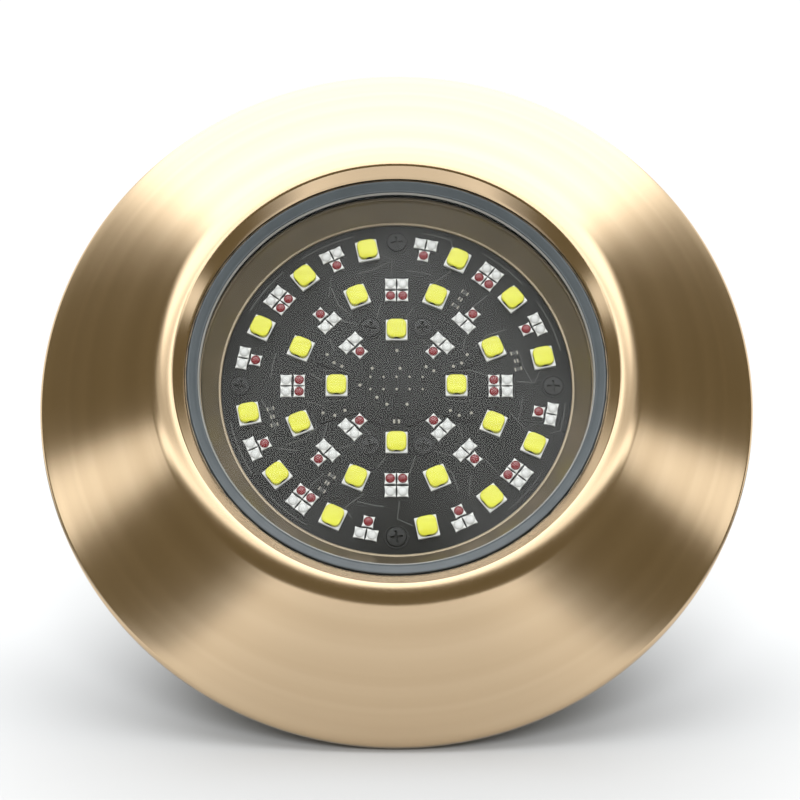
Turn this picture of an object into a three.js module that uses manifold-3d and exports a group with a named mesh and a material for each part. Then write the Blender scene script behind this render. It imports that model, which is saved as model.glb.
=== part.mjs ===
// Underwater pool light: a lamp with a bronze cone ring, which twists into a ring on the pool wall.
// Millimetres. Pieces are made in the lamp's own frame: +Z is the lamp axis, pointing at the swimmer,
// and z = 0 is the pool wall. The group at the end turns that axis to -Y, with +Z up.
import * as THREE from 'three';
import { mergeVertices } from 'three/addons/utils/BufferGeometryUtils.js';
import Module from 'manifold-3d';

const wasm = await Module();
wasm.setup();

// ---- Driving dimensions ----------------------------------------------------------------------
const GAP = 0.3; // between pieces that touch
const RING_SEGMENTS = 48; // facets round a large ring
const SMALL_SEGMENTS = 12; // facets round a screw or a gland
const GLAND_SEGMENTS = 24; // facets round the cable gland
const LOCKS = 3; // bayonet locks round each twisting ring

const TRIM = {
  radius: 82.5, // half of 6.5 inches
  back: 1.2, // clear of the wall
  rimRound: 1.6,
  rimRoundZ: 2.65, // centre of the rim's rounding
  crestRadius: 51.2,
  crestTop: 20.2,
  crestRound: 9, // on the cone side
  edgeRound: 1.6, // on the lens side
  edgeAngle: -4, // where the one rounding turns into the other
  lipAngle: -43, // where the rounding turns into the straight lip
  lipRadius: 47.7,
  lipFront: 17.9,
  lipBack: 17.4,
  underAngle: -27, // where the hollow's rounding ends
  wall: 1.6,
  rimWall: 2,
  skirtInner: 57.4,
  skirtOuter: 59.4,
  skirtBack: 11.6,
};
const TRIM_HOOK = { inner: 55.6, back: 11.6, front: 13.1, sweep: 16 };
const TRIM_TAB = { outer: 57, back: 13.5, front: 15, sweep: 16, travel: 20 };

const LENS = { radius: 46.7, back: 13.6, front: 16 };
const GASKET = {
  inner: 45.3,
  innerFront: 16.8,
  faceRadius: 47.3,
  faceFront: 17.75,
  shoulderFront: 15.8,
  outer: 49.2,
  back: 12.4,
  backInner: 45.4,
};
const FUNNEL = { outer: 45.1, foot: 40.95, throat: 40.2, throatFront: 8.7, mouth: 44.4 };

const BOARD = { radius: 40.6, back: 6.1, front: 7.7 };
const CAP = {
  radius: 10.3,
  height: 0.6,
  wingRoot: 4.8,
  wingEnd: 7.4,
  wingReach: 19,
  wingBulge: 2,
  notch: 2.3,
  notchCentre: -9.7,
};
const WHITE_LED = { size: 5, base: 0.7, dome: 4.2, domeCorner: 1, domeHeight: 0.9, sunk: 0.2 };
const WHITE_RINGS = [
  { radius: 13.76, quadrantAngles: [0] },
  { radius: 23.95, quadrantAngles: [22.5, 67.5] },
  { radius: 34.45, quadrantAngles: [11.5, 38.5, 65.5] },
];
const BOARD_SCREW = { head: 2.35, headHeight: 0.6, shank: 1.2, length: 4.9, hole: 1.5 };
const SCREW_OUTER_RADIUS = 36;
const SCREW_INNER_RADIUS = 15.7;
const SCREW_INNER_ANGLES = [67.3, 112.7, 247.3, 292.7];
const HEADER = { width: 15.6, depth: 5.6 }; // two rows of five pins, 3 mm apart

const BODY = {
  bore: 45.4,
  neck: 49.2,
  neckFront: 12.1,
  ledge: 2.5,
  cavity: 42,
  shell: 46,
  floorFront: -56,
  floorBack: -60,
  flange: 55.4,
  flangeBack: 4.6,
  flangeFront: 7.6,
  finOuter: 49.2,
  finFront: -3,
  finBack: -58,
  fins: 30,
};
const BODY_TAB = { outer: 58.8, sweep: 26, travel: 30 };
const SPREADER = { radius: 45.1, back: 2.8, front: 5.8 };
const CLAMP = {
  inner: 49.5,
  outer: 55.2,
  back: 7.9,
  shoulder: 15.2,
  chamfer: 1.6,
  top: 17.1,
  lip: 47.6,
  lipBack: 16.1,
};
const CLAMP_SCREW = {
  radius: 52.4,
  head: 1.7,
  headBack: 13.6,
  headFront: 16.4,
  shank: 1.2,
  tip: 4.9,
  socket: 0.9,
  socketDepth: 1.2,
};
const CLAMP_SCREW_ANGLES = [40, 130, 220, 310];

const WALL = {
  inner: 55.8,
  outer: 76,
  plate: 3,
  shelf: 4.2,
  collarInner: 59.2,
  collarOuter: 62.4,
  collarFront: 11,
  lugInner: 56,
  lugBack: 7.9,
};
const WALL_HOLE = { circle: 69.5, radius: 2.3, sink: 4.6, angles: [45, 135, 225, 315] };
const STOP = { width: 4, clear: 0.5 }; // the block at each end of a lock's travel, in degrees

const DRIVER = { radius: 37, thickness: 1.6, front: -8 };
const STANDOFF = { circle: 33, radius: 2.6, angles: [30, 150, 270] };
const INDUCTOR = { x: -16, y: 8, bore: 4.5, radius: 11, height: 8, bevel: 2 };
const CAPACITORS = [
  { x: 15, y: 12, radius: 6.3, height: 16 },
  { x: 17, y: -8, radius: 5, height: 12 },
];
const TERMINALS = { x: -2, y: -21, width: 15, depth: 9, height: 10 };
const GLAND = {
  barrel: 8,
  bore: 4.5,
  hex: 12,
  flangeFront: -61.3,
  flangeBack: -66,
  innerEnd: -50,
  outerEnd: -78,
  seat: 6.9,
  seatFront: -70,
  sealBore: 4.4,
  sealBack: -79,
  nutBack: -84,
  nutFront: -67,
  nutFloor: -79.8, // the inside of the nut's rounded end
  nutFace: 7.5,
  nutWaist: 10.4,
  nutRound: 3,
  nutHexBack: -79,
  locknut: 4,
};

// ---- Finishes --------------------------------------------------------------------------------
const finish = (color, roughness, metalness) => ({ color, roughness, metalness });
const BRONZE = finish(0xc9a878, 0.28, 1);
const RUBBER = finish(0x6f7d86, 0.6, 0);
const GLASS = finish(0xe8f0f2, 0.05, 0);
const BLACK_BOARD = finish(0x37383a, 0.65, 0);
const BLACK_STEEL = finish(0x2b2b2d, 0.5, 0.6);
const LED_PACKAGE = finish(0xe6e66a, 0.4, 0);
const BODY_PLASTIC = finish(0x3a3d40, 0.6, 0);
const WALL_PLASTIC = finish(0x4a4e52, 0.6, 0);
const ALUMINIUM = finish(0xb8babd, 0.4, 1);
const STEEL = finish(0xa9abad, 0.35, 1);
const GREEN_BOARD = finish(0x24523a, 0.5, 0);
const COPPER_COIL = finish(0x9a5a34, 0.4, 0.8);
const CAN = finish(0x30343a, 0.35, 0.2);
const CONNECTOR = finish(0x202224, 0.5, 0);

// ---- Helpers ---------------------------------------------------------------------------------
const radians = THREE.MathUtils.degToRad;

function asSolid(geometry) {
  const bare = geometry.index ? geometry.toNonIndexed() : geometry.clone();
  bare.deleteAttribute('normal');
  bare.deleteAttribute('uv');
  const merged = mergeVertices(bare, 1e-4);
  return new wasm.Manifold(
    new wasm.Mesh({
      numProp: 3,
      vertProperties: merged.attributes.position.array,
      triVerts: new Uint32Array(merged.index.array),
    }),
  );
}

function asGeometry(solid) {
  const mesh = solid.getMesh();
  const geometry = new THREE.BufferGeometry();
  geometry.setAttribute('position', new THREE.BufferAttribute(mesh.vertProperties, 3));
  geometry.setIndex(new THREE.BufferAttribute(mesh.triVerts, 1));
  geometry.computeVertexNormals();
  return geometry;
}

// Joins the first solid with every solid in `added`, then cuts every solid in `removed` from it.
function shaped(first, added, removed) {
  let solid = asSolid(first);
  for (const geometry of added) {
    solid = solid.add(asSolid(geometry));
  }
  for (const geometry of removed) {
    solid = solid.subtract(asSolid(geometry));
  }
  return asGeometry(solid);
}

// A ring from a closed [radius, z] outline, listed anticlockwise with radius to the right.
function ring(outline, segments = RING_SEGMENTS) {
  const points = outline.map(([radius, z]) => new THREE.Vector2(radius, z));
  points.push(points[0].clone());
  return new THREE.LatheGeometry(points, segments).rotateX(Math.PI / 2);
}

// A solid of revolution whose [radius, z] outline starts and ends on the axis.
function turned(outline, segments = SMALL_SEGMENTS) {
  const points = outline.map(([radius, z]) => new THREE.Vector2(radius, z));
  return new THREE.LatheGeometry(points, segments).rotateX(Math.PI / 2);
}

const tube = (inner, outer, back, front, segments = RING_SEGMENTS) =>
  ring([[inner, back], [outer, back], [outer, front], [inner, front]], segments);

const disc = (radius, back, front, segments = RING_SEGMENTS) =>
  turned([[0, back], [radius, back], [radius, front], [0, front]], segments);

// Points on a circle in the [radius, z] half plane; 0 degrees points forward, 90 outward.
function roll(centre, centreZ, radius, from, to, steps) {
  const points = [];
  for (let i = 0; i <= steps; i += 1) {
    const angle = radians(from + ((to - from) * i) / steps);
    points.push([centre + radius * Math.sin(angle), centreZ + radius * Math.cos(angle)]);
  }
  return points;
}

function extruded(shape, back, front, curveSegments = 1) {
  const options = { depth: front - back, bevelEnabled: false, curveSegments };
  return new THREE.ExtrudeGeometry(shape, options).translate(0, 0, back);
}

// A block that follows the rings: `sweep` degrees wide and centred on `middle`.
function sector(inner, outer, back, front, middle, sweep) {
  const from = radians(middle - sweep / 2);
  const to = radians(middle + sweep / 2);
  const shape = new THREE.Shape();
  shape.absarc(0, 0, outer, from, to, false);
  shape.absarc(0, 0, inner, to, from, true);
  shape.closePath();
  return extruded(shape, back, front, 4);
}

function prism(sides, radius, back, front) {
  return disc(radius, back, front, sides);
}

function placedAt(geometry, radius, degrees) {
  const angle = radians(degrees);
  return geometry.translate(radius * Math.cos(angle), radius * Math.sin(angle), 0);
}

const lockAngles = Array.from({ length: LOCKS }, (_, i) => 90 + (360 * i) / LOCKS);

function piece(name, geometry, look) {
  const mesh = new THREE.Mesh(geometry, new THREE.MeshStandardMaterial(look));
  mesh.name = name;
  return mesh;
}

// ---- Trim ring -------------------------------------------------------------------------------
// The cone is the straight line that touches the crest's rounding and the rim's rounding.
function coneTilt() {
  const across = TRIM.radius - TRIM.rimRound - TRIM.crestRadius;
  const down = TRIM.crestTop - TRIM.crestRound - TRIM.rimRoundZ;
  const lean = Math.asin((TRIM.crestRound - TRIM.rimRound) / Math.hypot(across, down));
  return THREE.MathUtils.radToDeg(Math.atan2(down, across) + lean);
}

// The crest's front: a wide rounding from the cone, then a tight one into the lip.
function crestFront(tilt) {
  const centreZ = TRIM.crestTop - TRIM.crestRound;
  const wide = roll(TRIM.crestRadius, centreZ, TRIM.crestRound, tilt, TRIM.edgeAngle, 4);
  const inset = TRIM.crestRound - TRIM.edgeRound;
  const edgeRadius = TRIM.crestRadius + inset * Math.sin(radians(TRIM.edgeAngle));
  const edgeZ = centreZ + inset * Math.cos(radians(TRIM.edgeAngle));
  const tight = roll(edgeRadius, edgeZ, TRIM.edgeRound, TRIM.edgeAngle, TRIM.lipAngle, 2);
  return [...wide, ...tight.slice(1)];
}

function trimRing() {
  const tilt = coneTilt();
  const crestZ = TRIM.crestTop - TRIM.crestRound;
  const hollowRound = TRIM.crestRound - TRIM.wall;
  const under = roll(TRIM.crestRadius, crestZ, hollowRound, TRIM.underAngle, tilt, 4);
  const [coneStart, coneStartZ] = under[under.length - 1];
  const underCone = (radius) => coneStartZ - (radius - coneStart) * Math.tan(radians(tilt));
  const rimInner = TRIM.radius - TRIM.rimWall;
  const outline = [
    [TRIM.lipRadius, TRIM.lipBack],
    ...under,
    [TRIM.skirtInner, underCone(TRIM.skirtInner)],
    [TRIM.skirtInner, TRIM.skirtBack],
    [TRIM.skirtOuter, TRIM.skirtBack],
    [TRIM.skirtOuter, underCone(TRIM.skirtOuter)],
    [rimInner, underCone(rimInner)],
    [rimInner, TRIM.back],
    [TRIM.radius, TRIM.back],
    ...roll(TRIM.radius - TRIM.rimRound, TRIM.rimRoundZ, TRIM.rimRound, 90, tilt, 2),
    ...crestFront(tilt),
    [TRIM.lipRadius, TRIM.lipFront],
  ];
  const hooks = lockAngles.map((angle) =>
    sector(
      TRIM_HOOK.inner,
      (TRIM.skirtInner + TRIM.skirtOuter) / 2,
      TRIM_HOOK.back,
      TRIM_HOOK.front,
      angle,
      TRIM_HOOK.sweep,
    ),
  );
  return piece('trim_ring', shaped(ring(outline), hooks, []), BRONZE);
}

// ---- Lens and what holds it ------------------------------------------------------------------
function lens() {
  const edge = 0.4;
  const outline = [
    [0, LENS.back],
    [LENS.radius - edge, LENS.back],
    [LENS.radius, LENS.back + edge],
    [LENS.radius, LENS.front - edge],
    [LENS.radius - edge, LENS.front],
    [0, LENS.front],
  ];
  return piece('lens', turned(outline, RING_SEGMENTS), GLASS);
}

// A U-shaped ring that wraps the edge of the lens.
function lensGasket() {
  const groove = LENS.radius + GAP;
  const outline = [
    [GASKET.backInner, GASKET.back],
    [GASKET.outer, GASKET.back],
    [GASKET.outer, GASKET.shoulderFront],
    [GASKET.faceRadius, GASKET.shoulderFront],
    [GASKET.faceRadius, GASKET.faceFront],
    [GASKET.inner, GASKET.innerFront],
    [GASKET.inner, LENS.front + GAP],
    [groove, LENS.front + GAP],
    [groove, LENS.back - GAP],
    [GASKET.backInner, LENS.back - GAP],
  ];
  return piece('lens_gasket', ring(outline), RUBBER);
}

function funnelRing() {
  const front = LENS.back - GAP;
  const outline = [
    [FUNNEL.foot, BOARD.back],
    [FUNNEL.outer, BOARD.back],
    [FUNNEL.outer, front],
    [FUNNEL.mouth, front],
    [FUNNEL.throat, FUNNEL.throatFront],
    [FUNNEL.throat, BOARD.front + GAP],
    [FUNNEL.foot, BOARD.front + GAP],
  ];
  return piece('funnel_ring', ring(outline), BRONZE);
}

// Stop blocks just past both ends of a lock's travel.
function stops(inner, outer, back, front, lockSweep, travel) {
  const reach = lockSweep / 2 + STOP.clear + STOP.width / 2;
  return lockAngles.flatMap((angle) => [
    sector(inner, outer, back, front, angle - reach, STOP.width),
    sector(inner, outer, back, front, angle + travel + reach, STOP.width),
  ]);
}

function clampRing() {
  const outline = [
    [CLAMP.inner, CLAMP.back],
    [CLAMP.outer, CLAMP.back],
    [CLAMP.outer, CLAMP.shoulder],
    [CLAMP.outer - CLAMP.chamfer, CLAMP.top],
    [CLAMP.lip, CLAMP.top],
    [CLAMP.lip, CLAMP.lipBack],
    [CLAMP.inner, CLAMP.lipBack],
  ];
  const root = CLAMP.outer - 0.6;
  const tabs = lockAngles.map((angle) =>
    sector(root, TRIM_TAB.outer, TRIM_TAB.back, TRIM_TAB.front, angle, TRIM_TAB.sweep),
  );
  const { outer, front, travel } = TRIM_TAB;
  const ends = stops(root, outer, TRIM_HOOK.back, front, TRIM_HOOK.sweep, travel);
  const holes = CLAMP_SCREW_ANGLES.flatMap((angle) => [
    placedAt(disc(CLAMP_SCREW.shank + GAP, 0, CLAMP.top + 1, SMALL_SEGMENTS), CLAMP_SCREW.radius, angle),
    placedAt(
      disc(CLAMP_SCREW.head + GAP, CLAMP_SCREW.headBack - GAP, CLAMP.top + 1, SMALL_SEGMENTS),
      CLAMP_SCREW.radius,
      angle,
    ),
  ]);
  return piece('clamp_ring', shaped(ring(outline), [...tabs, ...ends], holes), BRONZE);
}

function clampScrew(angle, index) {
  const socketFloor = CLAMP_SCREW.headFront - CLAMP_SCREW.socketDepth;
  const outline = [
    [0, CLAMP_SCREW.tip],
    [CLAMP_SCREW.shank, CLAMP_SCREW.tip],
    [CLAMP_SCREW.shank, CLAMP_SCREW.headBack],
    [CLAMP_SCREW.head, CLAMP_SCREW.headBack],
    [CLAMP_SCREW.head, CLAMP_SCREW.headFront],
    [CLAMP_SCREW.socket, CLAMP_SCREW.headFront],
    [CLAMP_SCREW.socket, socketFloor],
    [0, socketFloor],
  ];
  const screw = placedAt(turned(outline), CLAMP_SCREW.radius, angle);
  return piece(`clamp_screw_${index + 1}`, screw, STEEL);
}

// ---- LED board -------------------------------------------------------------------------------
const boardScrewPlaces = [
  ...[0, 90, 180, 270].map((angle) => ({ radius: SCREW_OUTER_RADIUS, angle })),
  ...SCREW_INNER_ANGLES.map((angle) => ({ radius: SCREW_INNER_RADIUS, angle })),
];

function boardScrewHoles(back, front) {
  return boardScrewPlaces.map(({ radius, angle }) =>
    placedAt(disc(BOARD_SCREW.hole, back - 1, front + 1, 8), radius, angle),
  );
}

function ledBoard() {
  const plate = disc(BOARD.radius, BOARD.back, BOARD.front);
  return piece('led_board', shaped(plate, [], boardScrewHoles(BOARD.back, BOARD.front)), BLACK_BOARD);
}

function boardScrew({ radius, angle }, index) {
  const seat = BOARD.front + GAP;
  const outline = [
    [0, seat - BOARD_SCREW.length],
    [BOARD_SCREW.shank, seat - BOARD_SCREW.length],
    [BOARD_SCREW.shank, seat],
    [BOARD_SCREW.head, seat],
    [BOARD_SCREW.head, seat + BOARD_SCREW.headHeight],
    [0, seat + BOARD_SCREW.headHeight],
  ];
  const screw = placedAt(turned(outline), radius, angle);
  return piece(`board_screw_0${index + 1}`, screw, BLACK_STEEL);
}

// One wing of the raised centre: it widens away from the middle and ends in a shallow curve.
function wing(side) {
  const shape = new THREE.Shape();
  shape.moveTo(0, -CAP.wingRoot);
  shape.lineTo(side * CAP.radius, -CAP.wingRoot);
  shape.lineTo(side * CAP.wingReach, -CAP.wingEnd);
  shape.quadraticCurveTo(side * (CAP.wingReach + CAP.wingBulge), 0, side * CAP.wingReach, CAP.wingEnd);
  shape.lineTo(side * CAP.radius, CAP.wingRoot);
  shape.lineTo(0, CAP.wingRoot);
  shape.closePath();
  return extruded(shape, 0, CAP.height, 8);
}

function centreCap() {
  const back = BOARD.front + GAP;
  const front = back + CAP.height;
  const window = WHITE_LED.size + 2 * GAP;
  const windows = [-1, 1].map((side) =>
    new THREE.BoxGeometry(window, window, 4).translate(side * WHITE_RINGS[0].radius, 0, back),
  );
  const notch = disc(CAP.notch, back - 1, front + 1, SMALL_SEGMENTS).translate(0, CAP.notchCentre, 0);
  const wings = [-1, 1].map((side) => wing(side).translate(0, 0, back));
  const cap = shaped(disc(CAP.radius, back, front, 48), wings, [...windows, notch]);
  return piece('centre_cap', cap, BLACK_BOARD);
}

// A square package with a low dome, whose outline is a square with cut corners.
function whiteLedShape() {
  const seat = BOARD.front + GAP;
  const half = WHITE_LED.dome / 2;
  const cut = WHITE_LED.domeCorner;
  const corners = [[half, half - cut], [half - cut, half], [cut - half, half], [-half, half - cut]];
  const outline = [...corners, ...corners.map(([x, y]) => [-x, -y])];
  const shape = new THREE.Shape(outline.map(([x, y]) => new THREE.Vector2(x, y)));
  const baseTop = seat + WHITE_LED.base;
  const dome = extruded(shape, baseTop - WHITE_LED.sunk, baseTop + WHITE_LED.domeHeight);
  const base = new THREE.BoxGeometry(WHITE_LED.size, WHITE_LED.size, WHITE_LED.base);
  return shaped(base.translate(0, 0, seat + WHITE_LED.base / 2), [dome], []);
}

function whiteLeds() {
  const shape = whiteLedShape();
  const places = WHITE_RINGS.flatMap(({ radius, quadrantAngles }) =>
    [0, 90, 180, 270].flatMap((quadrant) =>
      quadrantAngles.map((angle) => ({ radius, angle: quadrant + angle })),
    ),
  );
  return places.map(({ radius, angle }, i) => {
    const led = piece(`white_led_${String(i + 1).padStart(2, '0')}`, shape.clone(), LED_PACKAGE);
    led.position.set(radius * Math.cos(radians(angle)), radius * Math.sin(radians(angle)), 0);
    led.rotation.z = radians(angle);
    return led;
  });
}

// ---- Inside the body -------------------------------------------------------------------------
function heatSpreader() {
  const slot = new THREE.BoxGeometry(HEADER.width + 4 * GAP, HEADER.depth + 4 * GAP, 20);
  const plate = disc(SPREADER.radius, SPREADER.back, SPREADER.front);
  const holes = boardScrewHoles(SPREADER.back, SPREADER.front);
  return piece('heat_spreader', shaped(plate, [], [slot, ...holes]), ALUMINIUM);
}

function boardHeader() {
  const front = BOARD.back - GAP;
  const back = DRIVER.front + GAP;
  const block = new THREE.BoxGeometry(HEADER.width, HEADER.depth, front - back);
  return piece('board_header', block.translate(0, 0, (front + back) / 2), CONNECTOR);
}

function standoff(angle, index) {
  const post = prism(6, STANDOFF.radius, DRIVER.front + GAP, SPREADER.back - GAP);
  return piece(`standoff_${index + 1}`, placedAt(post, STANDOFF.circle, angle), ALUMINIUM);
}

function driverParts() {
  const seat = DRIVER.front - DRIVER.thickness - GAP;
  const board = disc(DRIVER.radius, DRIVER.front - DRIVER.thickness, DRIVER.front, 48);
  const bevelRadius = INDUCTOR.radius - INDUCTOR.bevel;
  const coil = [
    [INDUCTOR.bore, seat - INDUCTOR.height],
    [bevelRadius, seat - INDUCTOR.height],
    [INDUCTOR.radius, seat - INDUCTOR.height + INDUCTOR.bevel],
    [INDUCTOR.radius, seat - INDUCTOR.bevel],
    [bevelRadius, seat],
    [INDUCTOR.bore, seat],
  ];
  const terminals = new THREE.BoxGeometry(TERMINALS.width, TERMINALS.depth, TERMINALS.height);
  return [
    piece('driver_board', board, GREEN_BOARD),
    piece('inductor', ring(coil, GLAND_SEGMENTS).translate(INDUCTOR.x, INDUCTOR.y, 0), COPPER_COIL),
    ...CAPACITORS.map(({ x, y, radius, height }, i) =>
      piece(`capacitor_${i + 1}`, disc(radius, seat - height, seat, 24).translate(x, y, 0), CAN),
    ),
    piece(
      'terminal_block',
      terminals.translate(TERMINALS.x, TERMINALS.y, seat - TERMINALS.height / 2),
      CONNECTOR,
    ),
  ];
}

// ---- Lamp body -------------------------------------------------------------------------------
// Outline of the cooling ribs: the radius steps between the shell and the rib tips.
function ribs() {
  const valley = BODY.shell - 1;
  const steps = [[0, valley], [0.3, valley], [0.4, BODY.finOuter], [0.9, BODY.finOuter]];
  const pitch = (2 * Math.PI) / BODY.fins;
  const outline = Array.from({ length: BODY.fins }, (_, i) =>
    steps.map(([turn, radius]) => {
      const angle = (i + turn) * pitch;
      return new THREE.Vector2(radius * Math.cos(angle), radius * Math.sin(angle));
    }),
  );
  return extruded(new THREE.Shape(outline.flat()), BODY.finBack, BODY.finFront);
}

function lampBody() {
  const edge = 2;
  const outside = [
    [0, BODY.floorBack],
    [BODY.shell - edge, BODY.floorBack],
    [BODY.shell, BODY.floorBack + edge],
    [BODY.shell, BODY.finFront],
    [BODY.neck, BODY.finFront + 1],
    [BODY.neck, BODY.flangeBack],
    [BODY.flange, BODY.flangeBack],
    [BODY.flange, BODY.flangeFront],
    [BODY.neck, BODY.flangeFront],
    [BODY.neck, BODY.neckFront],
    [0, BODY.neckFront],
  ];
  const tabs = lockAngles.map((angle) =>
    sector(BODY.flange - 1, BODY_TAB.outer, BODY.flangeBack, BODY.flangeFront, angle, BODY_TAB.sweep),
  );
  const screwHoles = CLAMP_SCREW_ANGLES.map((angle) =>
    placedAt(disc(CLAMP_SCREW.shank + GAP, 0, CLAMP.top, SMALL_SEGMENTS), CLAMP_SCREW.radius, angle),
  );
  const hollows = [
    disc(BODY.bore, BODY.ledge, BODY.neckFront + 1),
    disc(BODY.cavity, BODY.floorFront, BODY.ledge + 1),
    disc(GLAND.barrel + GAP, BODY.floorBack - 1, BODY.floorFront + 1, GLAND_SEGMENTS),
  ];
  const body = shaped(turned(outside, RING_SEGMENTS), [ribs(), ...tabs], [...hollows, ...screwHoles]);
  return piece('lamp_body', body, BODY_PLASTIC);
}

// ---- Cable gland -----------------------------------------------------------------------------
function gland() {
  const barrelOutline = [
    [GLAND.bore, GLAND.innerEnd],
    [GLAND.bore, GLAND.seatFront],
    [GLAND.seat, GLAND.seatFront],
    [GLAND.seat, GLAND.outerEnd],
    [GLAND.barrel, GLAND.outerEnd],
    [GLAND.barrel, GLAND.innerEnd],
  ];
  const hexFlange = prism(6, GLAND.hex, GLAND.flangeBack, GLAND.flangeFront);
  const through = disc(GLAND.bore, GLAND.outerEnd - 1, GLAND.innerEnd + 1, GLAND_SEGMENTS);
  const barrel = shaped(ring(barrelOutline, GLAND_SEGMENTS), [hexFlange], [through]);
  const washer = tube(
    GLAND.barrel + GAP,
    GLAND.hex - 1,
    GLAND.flangeFront + GAP,
    BODY.floorBack - GAP,
    GLAND_SEGMENTS,
  );
  const locknutBack = BODY.floorFront + GAP;
  const locknut = shaped(
    prism(6, GLAND.hex, locknutBack, locknutBack + GLAND.locknut),
    [],
    [disc(GLAND.barrel + GAP, locknutBack - 1, locknutBack + GLAND.locknut + 1, GLAND_SEGMENTS)],
  );
  const seal = tube(
    GLAND.sealBore,
    GLAND.seat - GAP,
    GLAND.sealBack,
    GLAND.seatFront - GAP,
    GLAND_SEGMENTS,
  );
  const roundedEnd = [
    [0, GLAND.nutBack],
    [GLAND.nutFace, GLAND.nutBack],
    [GLAND.nutWaist, GLAND.nutBack + GLAND.nutRound],
    [GLAND.nutWaist, GLAND.nutHexBack + 1],
    [0, GLAND.nutHexBack + 1],
  ];
  const nut = shaped(
    turned(roundedEnd, GLAND_SEGMENTS),
    [prism(6, GLAND.hex, GLAND.nutHexBack, GLAND.nutFront)],
    [
      disc(GLAND.barrel + GAP, GLAND.nutFloor, GLAND.nutFront + 1, GLAND_SEGMENTS),
      disc(GLAND.bore, GLAND.nutBack - 1, GLAND.nutFront, GLAND_SEGMENTS),
    ],
  );
  return [
    piece('gland_body', barrel, CONNECTOR),
    piece('gland_washer', washer, RUBBER),
    piece('gland_locknut', locknut, CONNECTOR),
    piece('gland_seal', seal, RUBBER),
    piece('gland_nut', nut, CONNECTOR),
  ];
}

// ---- Wall ring -------------------------------------------------------------------------------
function wallRing() {
  const outline = [
    [WALL.inner, 0],
    [WALL.outer, 0],
    [WALL.outer, WALL.plate - 1],
    [WALL.outer - 1, WALL.plate],
    [WALL.collarOuter, WALL.plate],
    [WALL.collarOuter, WALL.collarFront],
    [WALL.collarInner, WALL.collarFront],
    [WALL.collarInner, WALL.shelf],
    [WALL.inner, WALL.shelf],
  ];
  const root = WALL.collarInner + 0.8;
  const lugs = lockAngles.map((angle) =>
    sector(WALL.lugInner, root, WALL.lugBack, WALL.collarFront, angle, BODY_TAB.sweep),
  );
  const stopBack = WALL.shelf - 0.5;
  const ends = stops(WALL.lugInner, root, stopBack, WALL.lugBack, BODY_TAB.sweep, BODY_TAB.travel);
  const sink = [
    [0, -1],
    [WALL_HOLE.radius, -1],
    [WALL_HOLE.radius, WALL.plate - (WALL_HOLE.sink - WALL_HOLE.radius)],
    [WALL_HOLE.sink + 1, WALL.plate + 1],
    [0, WALL.plate + 1],
  ];
  const holes = WALL_HOLE.angles.map((angle) => placedAt(turned(sink), WALL_HOLE.circle, angle));
  return piece('wall_ring', shaped(ring(outline), [...lugs, ...ends], holes), WALL_PLASTIC);
}

// ---- The light -------------------------------------------------------------------------------
const poolLight = new THREE.Group();
poolLight.add(
  wallRing(),
  lampBody(),
  clampRing(),
  ...CLAMP_SCREW_ANGLES.map(clampScrew),
  trimRing(),
  lensGasket(),
  lens(),
  funnelRing(),
  ledBoard(),
  centreCap(),
  ...boardScrewPlaces.map(boardScrew),
  ...whiteLeds(),
  heatSpreader(),
  boardHeader(),
  ...STANDOFF.angles.map(standoff),
  ...driverParts(),
  ...gland(),
);
poolLight.rotation.x = Math.PI / 2;

export default poolLight;
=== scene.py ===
import math
import random

import bmesh
import bpy
from mathutils import Matrix, Vector


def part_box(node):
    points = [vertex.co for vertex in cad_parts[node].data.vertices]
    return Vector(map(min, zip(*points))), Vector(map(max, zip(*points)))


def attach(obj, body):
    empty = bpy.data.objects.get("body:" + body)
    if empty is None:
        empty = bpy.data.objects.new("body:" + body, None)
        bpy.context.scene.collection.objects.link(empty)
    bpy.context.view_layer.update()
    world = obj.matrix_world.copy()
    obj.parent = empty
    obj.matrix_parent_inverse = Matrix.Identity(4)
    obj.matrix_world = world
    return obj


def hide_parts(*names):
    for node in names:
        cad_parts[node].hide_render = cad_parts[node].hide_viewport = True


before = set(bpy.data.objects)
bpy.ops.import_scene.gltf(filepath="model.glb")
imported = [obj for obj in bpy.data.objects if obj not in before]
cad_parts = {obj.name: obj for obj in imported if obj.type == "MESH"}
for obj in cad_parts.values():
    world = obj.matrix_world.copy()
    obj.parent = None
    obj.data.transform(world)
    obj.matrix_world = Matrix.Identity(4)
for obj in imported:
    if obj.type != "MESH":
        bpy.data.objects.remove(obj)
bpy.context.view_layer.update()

MM = 0.001
random.seed(7)


# ---- Sizes from the frame --------------------------------------------------------------------
def span(node):
    """(outer radius, back z, front z) of a round node."""
    low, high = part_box(node)
    return high.x, -high.y, -low.y


RIM_RADIUS, RIM_BACK, CREST_TOP = span("trim_ring")
GASKET_RADIUS, GASKET_BACK, GASKET_FRONT = span("lens_gasket")
LENS_RADIUS, LENS_BACK, LENS_FRONT = span("lens")
FUNNEL_RADIUS, FUNNEL_BACK, FUNNEL_FRONT = span("funnel_ring")
BOARD_RADIUS, BOARD_BACK, BOARD_FRONT = span("led_board")
_, BODY_BACK, BODY_FRONT = span("lamp_body")
WALL_RADIUS, WALL_BACK, WALL_FRONT = span("wall_ring")
WHITE_LEDS = [f"white_led_{i:02d}" for i in range(1, 25)]
BOARD_SCREWS = [f"board_screw_{i:02d}" for i in range(1, 9)]
PLATEAU_TOP = BOARD_FRONT + 0.42 * MM  # the raised middle of the board and its screw heads
SUNK = BOARD_FRONT - 0.05 * MM  # parts on the board start a little below its face
CORNERS = ((1, 1), (-1, 1), (-1, -1), (1, -1))


def centre(node):
    """(x, y) of a node's middle, seen from the front."""
    low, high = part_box(node)
    return (low.x + high.x) / 2, (low.z + high.z) / 2


# ---- Mesh helpers ----------------------------------------------------------------------------
def place(x, y, z):
    return (x, -z, y)


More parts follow.
